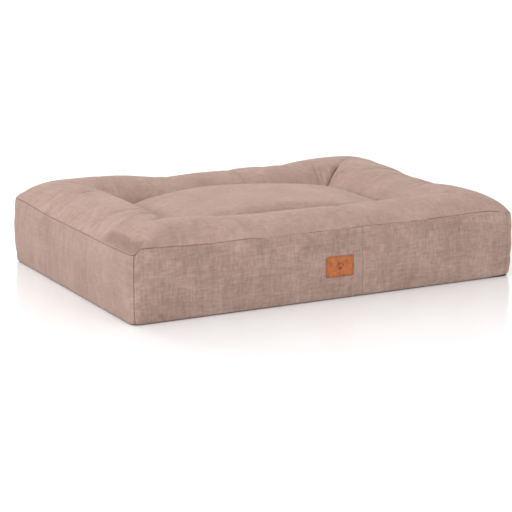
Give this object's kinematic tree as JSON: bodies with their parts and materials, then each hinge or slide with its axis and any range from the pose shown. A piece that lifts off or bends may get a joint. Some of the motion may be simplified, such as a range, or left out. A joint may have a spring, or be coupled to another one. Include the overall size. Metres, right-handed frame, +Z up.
{
  "type": "pet cushion bed",
  "caption": "Rectangular pet bed: box cover over a foam base, stuffed bolsters round the top edge, and a loose crowned cushion in the well between them.",
  "frame": {"origin": "on the floor, under the middle of the bed", "axes": "+X along the long side, to the right seen from the front; the front, with the label, faces -Y; +Z up"},
  "size_m": [1.05, 0.7577, 0.215],
  "materials": {
    "wall_cloth": "coarse linen weave",
    "bolster_cloth": "soft napped weave",
    "cushion_cloth": "soft napped weave",
    "base_cloth": "non-slip dotted canvas",
    "deck_cloth": "plain lining",
    "foam": "open-cell foam",
    "filling": "polyester fibre",
    "label_leather": "smooth, debossed",
    "label_thread": "waxed thread",
    "zip_tape": "woven tape",
    "zip_coil": "nylon coil",
    "zip_metal": "antique brass"
  },
  "bodies": {
    "bed_base": {"bottom_panel": "base_cloth", "front_wall_main": "wall_cloth", "front_wall_end": "wall_cloth", "left_wall": "wall_cloth", "right_wall": "wall_cloth", "back_wall_lower": "wall_cloth", "back_wall_upper": "wall_cloth", "support_foam": "foam", "comfort_foam": "foam", "deck_panel": "deck_cloth", "front_bolster_cover": "bolster_cloth", "front_bolster_filling": "filling", "back_bolster_cover": "bolster_cloth", "back_bolster_filling": "filling", "left_bolster_cover": "bolster_cloth", "left_bolster_filling": "filling", "right_bolster_cover": "bolster_cloth", "right_bolster_filling": "filling", "leather_label": "label_leather", "label_stitching": "label_thread", "zip_tape_upper": "zip_tape", "zip_tape_lower": "zip_tape", "zip_coil_upper": "zip_coil", "zip_coil_lower": "zip_coil", "zip_stops": "zip_metal"},
    "loose_cushion": {"centre_cushion_top": "cushion_cloth", "centre_cushion_bottom": "cushion_cloth", "centre_cushion_filling": "filling"},
    "slider": {"zip_slider": "zip_metal"},
    "pull": {"zip_pull": "zip_metal"}
  },
  "joints": [
    {"name": "cushion_lift", "type": "slide", "parent": "bed_base", "child": "loose_cushion", "axis": [0, 0, 1], "range_m": [0, 0.25]},
    {"name": "zip_run", "type": "slide", "parent": "bed_base", "child": "slider", "axis": [-1, 0, 0], "range_m": [0, 0.83], "deforming": ["zip_coil_upper", "zip_coil_lower"]},
    {"name": "pull_swing", "type": "hinge", "parent": "slider", "child": "pull", "pos_m": [0.4215, 0.3783, 0.045], "axis": [0, 0, -1], "range_deg": [0, 170]}
  ]
}
